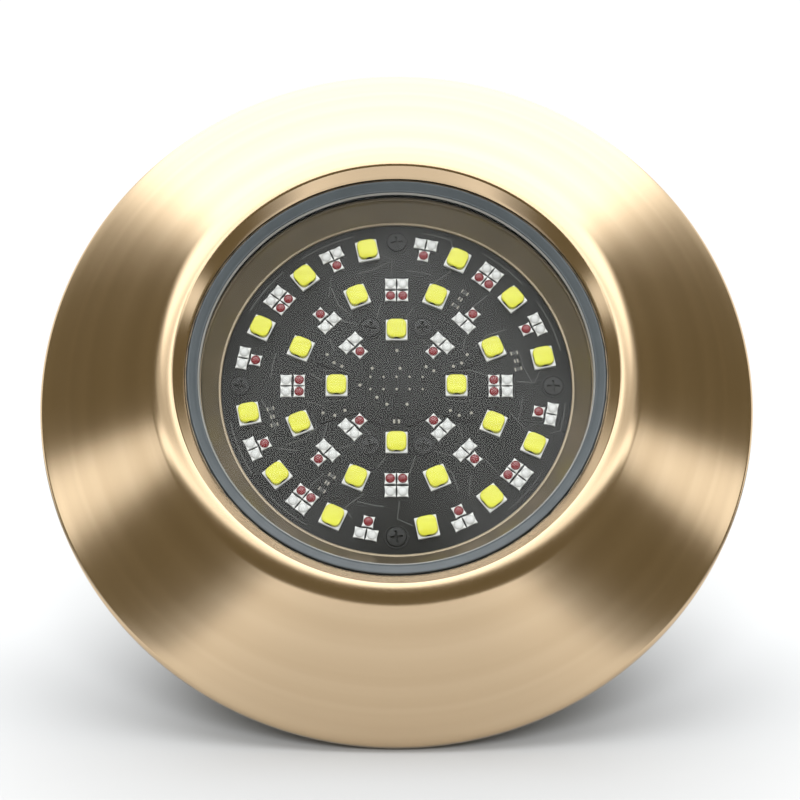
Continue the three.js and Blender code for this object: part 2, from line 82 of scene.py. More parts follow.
def polar(radius, degrees):
    angle = math.radians(degrees)
    return radius * math.cos(angle), radius * math.sin(angle)


def arc(centre_r, centre_z, radius, start, end, steps):
    """Points in the (radius, z) half plane; 0 degrees points forward and 90 outward."""
    points = []
    for i in range(steps + 1):
        angle = math.radians(start + (end - start) * i / steps)
        points.append((centre_r + radius * math.sin(angle), centre_z + radius * math.cos(angle)))
    return points


def line(start, end, steps):
    """Points from start towards end, without the end."""
    return [
        (start[0] + (end[0] - start[0]) * i / steps, start[1] + (end[1] - start[1]) * i / steps)
        for i in range(steps)
    ]


def circles(outline, segments=72, at=(0, 0)):
    """A row of points round (x, y) for each (radius, z) of an outline."""
    rows = []
    for r, z in outline:
        flat = [polar(r, 360 * i / segments) for i in range(segments)]
        rows.append([(at[0] + x, at[1] + y, z) for x, y in flat])
    return rows


def rounded(outline, radius, steps=3):
    """A closed outline with each corner rounded, by no more than its shorter side allows."""
    points = []
    count = len(outline)
    for i in range(count):
        here = Vector(outline[i])
        before = Vector(outline[i - 1]) - here
        after = Vector(outline[(i + 1) % count]) - here
        reach = min(radius, before.length * 0.45, after.length * 0.45)
        start = here + before.normalized() * reach
        end = here + after.normalized() * reach
        for k in range(steps + 1):
            t = k / steps
            points.append(tuple(start * (1 - t) ** 2 + here * 2 * t * (1 - t) + end * t**2))
    return points


class Shape:
    """Vertices and faces in the lamp's frame, gathered piece by piece."""

    def __init__(self):
        self.points = []
        self.faces = []
        self.slots = []

    def add(self, points, faces, material=0):
        start = len(self.points)
        self.points.extend(points)
        self.faces.extend(tuple(start + i for i in face) for face in faces)
        self.slots.extend([material] * len(faces))

    def sweep(self, rows, material=0, ends="joined"):
        """Joins rows of points, each a closed loop of the same length; ends says how it finishes.

        "joined" runs the last row back to the first, "capped" closes both ends with flat faces,
        "top" only the last one, and "open" neither.
        """
        width = len(rows[0])
        points = [point for row in rows for point in row]
        faces = []
        last = len(rows) if ends == "joined" else len(rows) - 1
        for i in range(last):
            a, b = i * width, ((i + 1) % len(rows)) * width
            for j in range(width):
                k = (j + 1) % width
                faces.append((a + j, a + k, b + k, b + j))
        if ends == "capped":
            faces.append(tuple(reversed(range(width))))
        if ends in ("capped", "top"):
            faces.append(tuple(range((len(rows) - 1) * width, len(rows) * width)))
        self.add(points, faces, material)

    def lathe(self, outline, segments=240, material=0, at=(0, 0)):
        """A ring turned from a closed (radius, z) outline."""
        self.sweep(circles(outline, segments, at), material)

    def cup(self, outline, segments=32, material=0, at=(0, 0)):
        """A solid turned from an open (radius, z) outline and closed at both ends by flat caps."""
        self.sweep(circles(outline, segments, at), material, "capped")

    def prism(self, outline, back, front, material=0, edge=0.0):
        """An (x, y) outline between two heights, with its front edge drawn in by edge."""
        middle = Vector((sum(p[0] for p in outline), sum(p[1] for p in outline))) / len(outline)

        def row(z, inset):
            loop = []
            for x, y in outline:
                arm = Vector((x, y)) - middle
                arm = arm * (1 - inset / max(arm.length, 1e-9))
                loop.append((middle.x + arm.x, middle.y + arm.y, z))
            return loop

        rows = [row(back, 0.0), row(front - edge, 0.0)]
        if edge:
            rows.append(row(front - edge * 0.3, edge * 0.3))
        rows.append(row(front, edge))
        self.sweep(rows, material, "capped")

    def sector(self, inner, outer, back, front, middle, sweep, steps=10):
        """A block that follows the rings, `sweep` degrees wide."""
        angles = [middle - sweep / 2 + sweep * i / steps for i in range(steps + 1)]
        outline = [polar(outer, a) for a in angles] + [polar(inner, a) for a in reversed(angles)]
        rows = [[(x, y, z) for x, y in outline] for z in (back, front)]
        self.sweep(rows, ends="capped")


def add_object(name, data):
    item = bpy.data.objects.new(name, data)
    bpy.context.scene.collection.objects.link(item)
    return item


def make_mesh(name, shape, materials=(), weld=False):
    """The shape as a mesh in the row frame, with its faces turned outwards."""
    mesh = bpy.data.meshes.new(name)
    mesh.from_pydata([place(*point) for point in shape.points], [], shape.faces)
    for material in materials:
        mesh.materials.append(material)
    for polygon, index in zip(mesh.polygons, shape.slots):
        polygon.material_index = index
    work = bmesh.new()
    work.from_mesh(mesh)
    if weld:
        bmesh.ops.remove_doubles(work, verts=work.verts, dist=0.001 * MM)
    bmesh.ops.recalc_face_normals(work, faces=work.faces)
    work.to_mesh(mesh)
    work.free()
    return mesh


def build(name, shape, materials, body, replaced=(), sharp=35, weld=False):
    """Makes a piece, smooth except at edges over `sharp` degrees, and rides it on its body."""
    mesh = make_mesh(name, shape, materials, weld)
    mesh.shade_smooth()
    mesh.set_sharp_from_angle(angle=math.radians(sharp))
    piece = add_object(name, mesh)
    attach(piece, body)
    if replaced:
        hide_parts(*replaced)
    return piece


# ---- Material helpers ------------------------------------------------------------------------
NOISE_RANGE = (0.3, 0.7)  # where the values of a noise mostly lie


class Nodes:
    """Short forms for adding and linking the nodes of one shader tree."""

    def __init__(self, tree):
        self.tree = tree

    def link(self, source, target):
        self.tree.links.new(source, target)

    def node(self, kind, values=None, **settings):
        """A new node; values gives its inputs a plain value or the output that feeds them."""
        made = self.tree.nodes.new(kind)
        for key, value in settings.items():
            setattr(made, key, value)
        for key, value in (values or {}).items():
            if isinstance(value, bpy.types.NodeSocket):
                self.link(value, made.inputs[key])
            else:
                made.inputs[key].default_value = value
        return made

    def math(self, operation, *values):
        return self.node("ShaderNodeMath", dict(enumerate(values)), operation=operation).outputs[0]

    def spread(self, source, start, end, low=0.0, high=1.0, kind="LINEAR"):
        """The source, stretched so that start to end becomes low to high."""
        values = {"Value": source, "From Min": start, "From Max": end, "To Min": low, "To Max": high}
        return self.node("ShaderNodeMapRange", values, interpolation_type=kind).outputs[0]

    def surface(self, factor, first, second):
        """Mixes two shaders and sends the result to the surface."""
        mix = self.node("ShaderNodeMixShader", {0: factor, 1: first, 2: second})
        self.link(mix.outputs[0], self.tree.nodes["Material Output"].inputs["Surface"])


class Finish(Nodes):
    """A node material round one Principled shader, in the object's own coordinates."""

    def __init__(self, name, color, roughness, metallic=0.0):
        self.material = bpy.data.materials.new(name)
        self.material.use_nodes = True
        super().__init__(self.material.node_tree)
        self.shader = self.tree.nodes["Principled BSDF"]
        self.shader.inputs["Metallic"].default_value = metallic
        self.shader.inputs["Base Color"].default_value = (*color, 1)
        self.shader.inputs["Roughness"].default_value = roughness
        self.place = self.node("ShaderNodeTexCoord").outputs["Object"]

    def split(self):
        """X, Y and Z of the place on the object."""
        return self.node("ShaderNodeSeparateXYZ", {0: self.place}).outputs

    def radius(self):
        """Distance from the lamp axis."""
        x, _, z = self.split()
        square = self.math("ADD", self.math("POWER", x, 2), self.math("POWER", z, 2))
        return self.math("SQRT", square)

    def noise(self, scale, detail=3.0, stretch=(1, 1, 1)):
        where = self.node("ShaderNodeMapping", {"Scale": stretch, "Vector": self.place}).outputs[0]
        values = {"Scale": scale, "Detail": detail, "Roughness": 0.55, "Vector": where}
        return self.node("ShaderNodeTexNoise", values).outputs["Fac"]

    def rings(self, per_metre, detail=4.0):
        """Noise that changes only with the distance from the lamp axis, like turning marks."""
        values = {"Scale": per_metre, "Detail": detail, "W": self.radius()}
        return self.node("ShaderNodeTexNoise", values, noise_dimensions="1D").outputs["Fac"]

    def ramp(self, source, low, high, socket):
        """Sends a noise, spread between two values or two colours, to a socket of the shader."""
        if isinstance(low, tuple):
            ramp = self.node("ShaderNodeValToRGB", {0: source})
            for stop, position, color in zip(ramp.color_ramp.elements, NOISE_RANGE, (low, high)):
                stop.position = position
                stop.color = (*color, 1)
            result = ramp.outputs[0]
        else:
            result = self.spread(source, *NOISE_RANGE, low, high)
        self.link(result, self.shader.inputs[socket])

    def bump(self, source, depth):
        """Raises the surface by up to depth metres."""
        bump = self.node("ShaderNodeBump", {"Strength": 1.0, "Distance": depth, "Height": source})
        self.link(bump.outputs[0], self.shader.inputs["Normal"])

    def set(self, **values):
        for key, value in values.items():
            self.shader.inputs[key.replace("_", " ")].default_value = value


def turned_bronze():
    """Satin turned metal: fine circular marks over slower rings of colour and gloss."""
    finish = Finish("turned_bronze", (0.6, 0.46, 0.3), 0.17, 1.0)
    finish.ramp(finish.rings(240, 6), (0.575, 0.438, 0.282), (0.62, 0.478, 0.314), "Base Color")
    finish.ramp(finish.noise(30, 3), 0.15, 0.19, "Roughness")
    finish.bump(finish.rings(300), 0.000003)
    return finish.material


def polished_bronze():
    """The thinner-plated bronze behind the lens, clouded by a soft film."""
    finish = Finish("polished_bronze", (0.4, 0.32, 0.22), 0.3, 0.75)
    finish.ramp(finish.noise(60, 4), (0.29, 0.235, 0.165), (0.36, 0.29, 0.205), "Base Color")
    finish.ramp(finish.noise(90, 4), 0.28, 0.38, "Roughness")
    finish.bump(finish.noise(110, 2), 0.00003)
    return finish.material


def grained(name, color, roughness, dark, clouds, gloss, grain, metallic=0.0):
    """A finish with darker clouds in its colour, uneven gloss and fine raised grain.

    clouds is (scale, detail), gloss (scale, smoother by, rougher by) or None, and grain
    (scale, detail, depth in metres).
    """
    finish = Finish(name, color, roughness, metallic)
    shade = tuple(channel * dark for channel in color)
    finish.ramp(finish.noise(*clouds), shade, color, "Base Color")
    if gloss:
        scale, smoother, rougher = gloss
        finish.ramp(finish.noise(scale, 4), roughness - smoother, roughness + rougher, "Roughness")
    scale, detail, depth = grain
    finish.bump(finish.noise(scale, detail), depth)
    return finish


def rubber(name, color, roughness):
    return grained(name, color, roughness, 0.82, (90, 5), (240, 0.08, 0.1), (1500, 3, 1e-5)).material


def moulded(name, color, roughness):
    """Fine-grained moulded plastic, a little shinier where it has been rubbed."""
    return grained(name, color, roughness, 0.78, (35, 5), (60, 0.1, 0.08), (1400, 2, 1.8e-5)).material


def solder_mask(name, color, roughness):
    finish = grained(name, color, roughness, 0.8, (70, 6), (200, 0.07, 0.08), (900, 3, 1.2e-5))
    finish.set(Specular_IOR_Level=0.25)
    return finish.material


def metal(name, color, roughness):
    gloss, grain = (500, 0.08, 0.1), (1500, 2, 8e-6)
    return grained(name, color, roughness, 0.85, (90, 5), gloss, grain, 1.0).material


def phosphor():
    """Yellow silicone with the faint bars of the die beneath showing through."""
    finish = Finish("yellow_phosphor", (0.8, 0.8, 0.05), 0.35)
    bars = finish.noise(420, 2, stretch=(0.25, 1, 1.6))
    finish.ramp(bars, (0.58, 0.56, 0.035), (0.66, 0.66, 0.055), "Base Color")
    finish.bump(finish.noise(900, 2), 0.00002)
    finish.set(Coat_Weight=0.6, Coat_Roughness=0.12)
    return finish.material


def ceramic():
    finish = Finish("white_ceramic", (0.7, 0.7, 0.69), 0.45)
    finish.ramp(finish.noise(500, 3), (0.64, 0.64, 0.63), (0.74, 0.74, 0.73), "Base Color")
    finish.bump(finish.noise(2400, 2), 0.000008)
    return finish.material


def silicone(name, color):
    finish = grained(name, color, 0.3, 0.85, (600, 2), None, (1200, 2, 1e-5))
    finish.set(Coat_Weight=0.8, Coat_Roughness=0.1)
    return finish.material


def clear_glass():
    """A window that lamps shine through: see-through, with a mirror that grows at glancing angles."""
    material = bpy.data.materials.new("lens_glass")
    material.use_nodes = True
    glass = Nodes(material.node_tree)
    glass.tree.nodes.remove(glass.tree.nodes["Principled BSDF"])
    see = glass.node("ShaderNodeBsdfTransparent", {"Color": (0.975, 0.985, 0.985, 1)})
    mirror = glass.node("ShaderNodeBsdfGlossy", {"Roughness": 0.04})
    fresnel = glass.node("ShaderNodeFresnel", {"IOR": 1.2})
    glass.surface(fresnel.outputs[0], see.outputs[0], mirror.outputs[0])
    return material


BRONZE = turned_bronze()
BRONZE_INSIDE = polished_bronze()
GASKET_RUBBER = rubber("blue_grey_rubber", (0.062, 0.075, 0.084), 0.42)
# A pale grey standing in for light: painted light on the gasket's shaded inner wall.
PAINTED_LIGHT_SEAL = rubber("painted_light_seal", (0.26, 0.26, 0.245), 0.5)
SEAL_RUBBER = rubber("black_rubber", (0.03, 0.03, 0.03), 0.6)
BOARD_MASK = solder_mask("black_mask", (0.026, 0.026, 0.0255), 0.5)
TRACE_MASK = solder_mask("raised_mask", (0.1, 0.101, 0.097), 0.45)
PHOSPHOR = phosphor()
CERAMIC = ceramic()
CLEAR_DOME = silicone("clear_silicone", (0.64, 0.64, 0.64))
RED_DOME = silicone("red_silicone", (0.2, 0.018, 0.024))
# Near-black standing in for shade: painted shade on the LED domes' walls, under the pin tips and in the
# screw crosses.
PAINTED_SHADE = moulded("painted_shade_black", (0.012, 0.012, 0.011), 0.7)
BLACK_SCREW = moulded("black_oxide", (0.022, 0.022, 0.022), 0.5)
PAD_METAL = moulded("tinned_pad", (0.36, 0.34, 0.29), 0.5)
BODY_PLASTIC = moulded("body_plastic", (0.055, 0.058, 0.062), 0.5)
WALL_PLASTIC = moulded("wall_plastic", (0.1, 0.104, 0.108), 0.5)
GLAND_PLASTIC = moulded("gland_plastic", (0.035, 0.035, 0.037), 0.42)
CONNECTOR_PLASTIC = moulded("connector_plastic", (0.03, 0.03, 0.032), 0.45)
ALUMINIUM = metal("machined_aluminium", (0.72, 0.73, 0.74), 0.35)
STEEL = metal("plain_steel", (0.62, 0.62, 0.63), 0.32)
DRIVER_MASK = solder_mask("green_mask", (0.02, 0.12, 0.06), 0.4)
COIL_COPPER = metal("coil_copper", (0.6, 0.26, 0.12), 0.35)
CAN_SLEEVE = moulded("capacitor_sleeve", (0.05, 0.055, 0.08), 0.35)
GLASS = clear_glass()


# ---- Trim ring -------------------------------------------------------------------------------
CREST_RADIUS = 51.2 * MM
CREST_ROUND = 9 * MM
EDGE_ROUND = 1 * MM
EDGE_ANGLE = -4  # degrees, where the crest turns into its tighter inner edge
LIP_ANGLE = -43  # degrees, where that edge runs out into the lip
UNDER_ANGLE = -27  # degrees, where the underside of the crest starts
RIM_ROUND = 1.6 * MM
RIM_ROUND_Z = 2.65 * MM
TRIM_WALL = 1.6 * MM
RIM_WALL = 2 * MM
LIP_RADIUS = 47.7 * MM
LIP_FRONT = 17.9 * MM
LIP_BACK = 17.4 * MM
SKIRT = (57.4 * MM, 59.4 * MM, 11.6 * MM)  # inner radius, outer radius, back
TRIM_LUG = (55.6 * MM, 58.4 * MM, 11.6 * MM, 13.1 * MM)  # inner radius, outer radius, back, front
LOCK_ANGLES = (90, 210, 330)


def trim_ring():
    """The cone between a rolled crest and a rounded rim, with a skirt and three lugs behind it."""
    crest_z = CREST_TOP - CREST_ROUND
    across = RIM_RADIUS - RIM_ROUND - CREST_RADIUS
    down = crest_z - RIM_ROUND_Z
    lean = math.asin((CREST_ROUND - RIM_ROUND) / math.hypot(across, down))
    tilt = math.degrees(math.atan2(down, across) + lean)
    under = arc(CREST_RADIUS, crest_z, CREST_ROUND - TRIM_WALL, UNDER_ANGLE, tilt, 14)
    start_r, start_z = under[-1]

    def under_cone(radius):
        return start_z - (radius - start_r) * math.tan(math.radians(tilt))

    rim_inner = RIM_RADIUS - RIM_WALL
    rim = arc(RIM_RADIUS - RIM_ROUND, RIM_ROUND_Z, RIM_ROUND, 90, tilt, 10)
    crest = arc(CREST_RADIUS, crest_z, CREST_ROUND, tilt, EDGE_ANGLE, 36)
    inset = CREST_ROUND - EDGE_ROUND
    turn_r = CREST_RADIUS + inset * math.sin(math.radians(EDGE_ANGLE))
    turn_z = crest_z + inset * math.cos(math.radians(EDGE_ANGLE))
    crest += arc(turn_r, turn_z, EDGE_ROUND, EDGE_ANGLE, LIP_ANGLE, 14)[1:]
    edge = 0.35 * MM
    outline = [
        (LIP_RADIUS, LIP_BACK),
        *under,
        (SKIRT[0], under_cone(SKIRT[0])),
        (SKIRT[0], SKIRT[2]),
        (SKIRT[1], SKIRT[2]),
        (SKIRT[1], under_cone(SKIRT[1])),
        (rim_inner, under_cone(rim_inner)),
        (rim_inner, RIM_BACK),
        *arc(RIM_RADIUS - edge, RIM_BACK + edge, edge, 180, 90, 4),
        *rim,
        *line(rim[-1], crest[0], 12)[1:],
        *crest,
        *line(crest[-1], (LIP_RADIUS, LIP_FRONT), 4)[1:],
        (LIP_RADIUS + 0.08 * MM, LIP_FRONT + 0.06 * MM),
        (LIP_RADIUS, LIP_FRONT - 0.05 * MM),
    ]
    shape = Shape()
    shape.lathe(outline, 360)
    for angle in LOCK_ANGLES:
        shape.sector(*TRIM_LUG, angle, 16)
    build("trim", shape, [BRONZE], "trim", ["trim_ring"], sharp=40)


# ---- Lens, gasket and funnel -----------------------------------------------------------------
def lens():
    edge = 0.4 * MM
    outline = [
        (LENS_RADIUS - edge, LENS_BACK),
        (LENS_RADIUS, LENS_BACK + edge),
        (LENS_RADIUS, LENS_FRONT - edge),
        (LENS_RADIUS - edge, LENS_FRONT),
    ]
    shape = Shape()
    shape.cup(outline, 180)
    build("lens_window", shape, [GLASS], "lamp", ["lens"])


def gasket():
    """Blue-grey ring with a fine bead at its inner edge, and a thin ring against the lens whose pale
    colour is painted light on the shaded inner wall.
    """
    inner = 44.95 * MM
    throat = 45.4 * MM
    face = 47.3 * MM
    shoulder = 15.8 * MM
    corner = 0.25 * MM
    bead = 0.2 * MM
    gap = 0.3 * MM
    groove = LENS_RADIUS + gap
    lip_back = LENS_FRONT + 0.05 * MM
    outline = [
        (throat, GASKET_BACK),
        (GASKET_RADIUS, GASKET_BACK),
        (GASKET_RADIUS, shoulder),
        (face, shoulder),
        *arc(face - corner, GASKET_FRONT - corner, corner, 90, 0, 4),
        *line((face - 0.3 * MM, GASKET_FRONT), (inner + 0.55 * MM, 17.0 * MM), 6)[1:],
        (inner + 0.5 * MM, 16.84 * MM),
        *arc(inner + bead, 16.62 * MM, bead, 40, -90, 6),
        (inner, lip_back),
        (groove, lip_back),
        (groove, LENS_BACK - gap),
        (throat, LENS_BACK - gap),
    ]
    shape = Shape()
    shape.lathe(outline)
    # Painted light: a pale ring on the gasket's shaded inner wall, lighter than the rubber.
    lip_inner = 44.55 * MM
    lip_outer = inner - 0.02 * MM
    lip_front = 16.45 * MM
    painted_light_lip = [
        (lip_inner, lip_back),
        (lip_outer, lip_back),
        (lip_outer, lip_front),
        (lip_outer - 0.15 * MM, lip_front),
    ]
    shape.lathe(painted_light_lip, material=1)
    build("gasket", shape, [GASKET_RUBBER, PAINTED_LIGHT_SEAL], "lamp", ["lens_gasket"])


def funnel():
    """The short bronze wall behind the lens, with a turned bead at its mouth and at its foot."""
    foot = 40.95 * MM
    throat = 40.2 * MM
    mouth = 44.4 * MM
    bead = 0.24 * MM
    step = BOARD_FRONT + 0.3 * MM
    outline = [
        (foot, FUNNEL_BACK),
        (FUNNEL_RADIUS, FUNNEL_BACK),
        (FUNNEL_RADIUS, FUNNEL_FRONT),
        *arc(mouth + bead, FUNNEL_FRONT - bead, bead, 0, -110, 7),
        (mouth - 0.02 * MM, FUNNEL_FRONT - 0.62 * MM),
        *line((mouth - 0.2 * MM, FUNNEL_FRONT - 0.9 * MM), (throat + 0.62 * MM, step + 0.72 * MM), 10),
        (throat + 0.6 * MM, step + 0.55 * MM),
        *arc(throat + bead, step + bead, bead, 20, -90, 6),
        (throat, step),
        (foot, step),
    ]
    shape = Shape()
    shape.lathe(outline)
    build("funnel", shape, [BRONZE_INSIDE], "lamp", ["funnel_ring"])


# ---- LED board -------------------------------------------------------------------------------
def board():
    edge = 0.25 * MM
    outline = [
        (BOARD_RADIUS, BOARD_BACK),
        (BOARD_RADIUS, BOARD_FRONT - edge),
        (BOARD_RADIUS - edge * 0.3, BOARD_FRONT - edge * 0.3),
        (BOARD_RADIUS - edge, BOARD_FRONT),
    ]
    shape = Shape()
    shape.cup(outline, 240)
    build("board", shape, [BOARD_MASK], "lamp", ["led_board"])


def centre_cap():
    """The raised middle: a round plateau with four flared bars, a half-round notch and a fine bead."""
    radius = 10.3 * MM
    bar = [(10.9, 2.9), (18.6, 5.5), (18.9, 6.4), (18.1, 8.6), (17.2, 9.2), (8.7, 6.4)]
    notch = [polar(2.3 * MM, 172 - 16.4 * i) for i in range(11)]
    outline = []
    for side, rise in CORNERS:
        run = [(side * x * MM, rise * y * MM) for x, y in bar]
        outline.extend(run if side * rise > 0 else reversed(run))
        if (side, rise) == (1, 1):
            outline.extend(polar(radius, 42 + 4 * i) for i in range(25))
        if (side, rise) == (-1, -1):
            outline.extend(polar(radius, 222 + 4 * i) for i in range(9))
            outline.extend((x, y - 9.9 * MM) for x, y in notch)
            outline.extend(polar(radius, 286 + 4 * i) for i in range(9))
    shape = Shape()
    shape.prism(rounded(outline, 0.4 * MM, 2), BOARD_FRONT - 0.1 * MM, PLATEAU_TOP, edge=0.12 * MM)
    outer = radius - 0.55 * MM
    inner = outer * 0.97
    low = PLATEAU_TOP - 0.02 * MM
    high = PLATEAU_TOP + 0.06 * MM
    shape.lathe([(outer, low), (outer, high), (inner, high), (inner, low)], 120)
    build("centre_plateau", shape, [BOARD_MASK], "lamp", ["centre_cap"])


def studs(shape, places, outline, segments, material=0):
    """The same small turned shape at several places: (radius mm, mm above the plateau)."""
    turned = [(r * MM, PLATEAU_TOP + z * MM) for r, z in outline]
    for at in places:
        shape.cup(turned, segments, material, at)


def header_pins():
    """Two rows of five pin tips, each above a flat dark disc of painted shadow, and two chips in the
    notch.
    """
    shape = Shape()
    pitch = 3 * MM
    pins = [(column * pitch, y) for column in range(-2, 3) for y in (2.2 * MM, -0.8 * MM)]
    studs(shape, pins, [(0.3, -0.1), (0.26, 0.1), (0.12, 0.16)], 12)
    # Painted shadow: a flat near-black disc just below each pin tip.
    pin_shadows = [(x, y - 1.0 * MM) for x, y in pins]
    studs(shape, pin_shadows, [(0.56, -0.1), (0.52, 0.02), (0.36, 0.03)], 16, 1)
    for x in (-0.55 * MM, 0.55 * MM):
        chip = box_outline(x, -8.6 * MM, 0.5 * MM, 0.9 * MM)
        shape.prism(chip, BOARD_FRONT, BOARD_FRONT + 0.35 * MM)
    build("header_pins", shape, [PAD_METAL, PAINTED_SHADE], "lamp")


def box_outline(x, y, width, height, degrees=0):
    turn = Matrix.Rotation(math.radians(degrees), 2)
    corners = [Vector((sx * width / 2, sy * height / 2)) for sx, sy in CORNERS]
    return [tuple(Vector((x, y)) + turn @ corner) for corner in corners]


# Bare test points near the middle, in millimetres from the lamp axis.
PLATEAU_PADS = [(-5.6, 4.3), (0.8, 4.3), (6.8, 4.7), (8.6, 3.7), (0.1, 8.7)]
PLATEAU_PADS += [(-4.5, -2.8), (-2.2, -4.5), (2.4, -4.5), (-8.4, 0.2)]
BAR_PADS = [(-16.0, 7.7), (-14.4, 5.7), (-12.6, 4.8), (13.1, 4.8), (15.0, 5.6), (16.3, 7.7)]
BAR_PADS += [(-16.8, -6.6), (-14.1, -7.2), (-11.8, -6.0), (12.3, -6.0), (14.3, -7.2), (17.1, -6.6)]


def test_pads():
    shape = Shape()
    places = [(x * MM, y * MM) for x, y in PLATEAU_PADS + BAR_PADS]
    studs(shape, places, [(0.4, -0.3), (0.36, 0.05), (0.2, 0.09)], 14)
    build("test_pads", shape, [PAD_METAL], "lamp")


def ridge(shape, points, width, height, base):
    """A low flat-topped track along a run of (x, y) points."""
    rows = []
    for i, point in enumerate(points):
        here = Vector(point)
        ahead = Vector(points[min(i + 1, len(points) - 1)]) - Vector(points[max(i - 1, 0)])
        side = Vector((-ahead.y, ahead.x)).normalized() * width / 2
        rows.append([
            (*(here - side), base - 0.02 * MM),
            (*(here - side * 0.7), base + height),
            (*(here + side * 0.7), base + height),
            (*(here + side), base - 0.02 * MM),
        ])
    shape.sweep(rows, ends="capped")


def track(route):
    """(x, y) points through (radius mm, degrees) stations: arcs where the radius stays the same."""
    points = []
    for (r0, a0), (r1, a1) in zip(route, route[1:]):
        steps = max(1, int(abs(a1 - a0) / 3)) if abs(r1 - r0) < 0.05 else 1
        points.extend(polar(r * MM, a) for r, a in line((r0, a0), (r1, a1), steps))
    points.append(polar(route[-1][0] * MM, route[-1][1]))
    return points


# Tracks of one quadrant, as (radius mm, degrees) stations.
QUADRANT_TRACKS = [
    [(38.9, 14), (38.9, 34)],
    [(38.9, 43), (38.9, 61)],
    [(31.2, 4), (29.6, 12), (29.6, 19)],
    [(31.0, 30), (27.2, 36)],
    [(26.6, 50), (31.0, 49)],
    [(20.6, 30), (24.4, 33), (28.8, 31)],
    [(17.6, 28), (21.0, 37)],
    [(19.6, 52), (17.0, 58)],
    [(29.0, 72), (29.0, 84)],
    [(26.8, 74), (31.4, 68), (33.0, 72)],
    [(20.0, 80), (17.2, 84)],
    [(21.2, 8), (17.4, 14)],
    [(36.8, 71), (38.9, 73), (38.9, 83)],
    [(27.6, 3), (31.8, 2), (33.6, 8)],
    [(12.4, 50), (13.9, 72)],
]


def traces():
    """Raised tracks, scattered a little from quadrant to quadrant, and one along each bar."""
    shape = Shape()
    height = 0.05 * MM
    for quadrant in range(4):
        for route in QUADRANT_TRACKS:
            shift = random.uniform(-2.5, 2.5)
            if random.random() < 0.12:
                continue
            turned = [(radius, angle + 90 * quadrant + shift) for radius, angle in route]
            ridge(shape, track(turned), random.uniform(0.22, 0.34) * MM, height, BOARD_FRONT)
    for side in (-1, 1):
        for level in (-1, 1):
            run = [(side * 10.5, level * 2.9), (side * 12.4, level * 3.6), (side * 17, level * 3.8)]
            ridge(shape, [(x * MM, y * MM) for x, y in run], 0.2 * MM, height, PLATEAU_TOP)
    build("board_tracks", shape, [TRACE_MASK], "lamp")


# Groups of chip resistors: radius mm, degrees, and degrees by which the row leans from its radius.
RESISTOR_GROUPS = [(26.2, 55.6, 0), (28.3, 12.7, 90), (29.3, 194.7, 90), (28.1, 236, 0)]


def resistor_groups():
    """Four groups of three small chips: two wide ones with a narrow one between them."""
    shape = Shape()
    chip_top = BOARD_FRONT + 0.22 * MM
    for radius, angle, lean in RESISTOR_GROUPS:
        spot = Vector(polar(radius * MM, angle))
        ahead = Vector(polar(1, angle + lean))
        across = Vector(polar(1, angle + lean + 90))
        for along, width in ((-2, 1.15), (0, 0.55), (2, 1.15)):
            middle = spot + ahead * along * MM
            outline = box_outline(*middle, 0.8 * MM, width * 1.25 * MM, angle + lean)
            shape.prism(outline, SUNK, chip_top, edge=0.05 * MM)
            for end in (-1, 1):
                tip = middle + across * end * width * 0.62 * MM
                cap = box_outline(*tip, 0.86 * MM, 0.28 * MM, angle + lean)
                shape.prism(cap, SUNK, chip_top + 0.03 * MM, edge=0.04 * MM, material=1)
    build("chip_resistors", shape, [TRACE_MASK, PAD_METAL], "lamp")


def cross_outline(arm, width, degrees):
    """A plus sign, as an (x, y) outline round the origin."""
    half = width / 2
    mid = (arm + half) / 2
    corner = [(mid, -half), (arm, -half), (arm, 0), (arm, half), (mid, half), (half, half)]
    points = []
    for quarter in range(4):
        turn = Matrix.Rotation(math.radians(90 * quarter + degrees), 2)
        points.extend(tuple(turn @ Vector(point)) for point in corner)
    return points


def board_screws():
    """Low cross-head screws: a recessed cross, painted near-black as painted shade, in a flat head with
    a rounded edge.
    """
    shape = Shape()
    head = 2.3 * MM
    top = PLATEAU_TOP
    flat = head - 0.35 * MM
    for index, node in enumerate(BOARD_SCREWS):
        x, y = centre(node)
        turn = 12 * math.sin(2.3 * index)
        cross = cross_outline(1.4 * MM, 0.5 * MM, turn)
        # points round the head, each straight out from a point of the cross
        around = [polar(1.0, math.degrees(math.atan2(py, px))) for px, py in cross]

        def row(points, scale, z):
            return [(x + px * scale, y + py * scale, z) for px, py in points]

        mouth = row(cross, 1.0, top)
        head_rows = [
            mouth,
            row(around, flat, top - 0.02 * MM),
            row(around, head - 0.1 * MM, top - 0.1 * MM),
            row(around, head, top - 0.24 * MM),
            row(around, head, BOARD_FRONT - 0.1 * MM),
        ]
        shape.sweep(head_rows, 0, "top")
        # Painted shade: the walls and floor of the cross are near-black.
        recess = [mouth, row(cross, 0.98, top - 0.04 * MM), row(cross, 0.9, top - 0.4 * MM)]
        shape.sweep(recess, 1, "top")
    materials = [BLACK_SCREW, PAINTED_SHADE]
    build("board_screw_heads", shape, materials, "lamp", BOARD_SCREWS, weld=True)


def screw_wells():
    """A low rounded collar round each screw head."""
    shape = Shape()
    collar = [(2.42, -0.05), (2.46, 0.12), (2.62, 0.16), (2.8, 0.1), (2.86, -0.05)]
    outline = [(r * MM, BOARD_FRONT + z * MM) for r, z in collar]
    for node in BOARD_SCREWS:
        shape.lathe(outline, 36, at=centre(node))
    build("screw_wells", shape, [BOARD_MASK], "lamp")


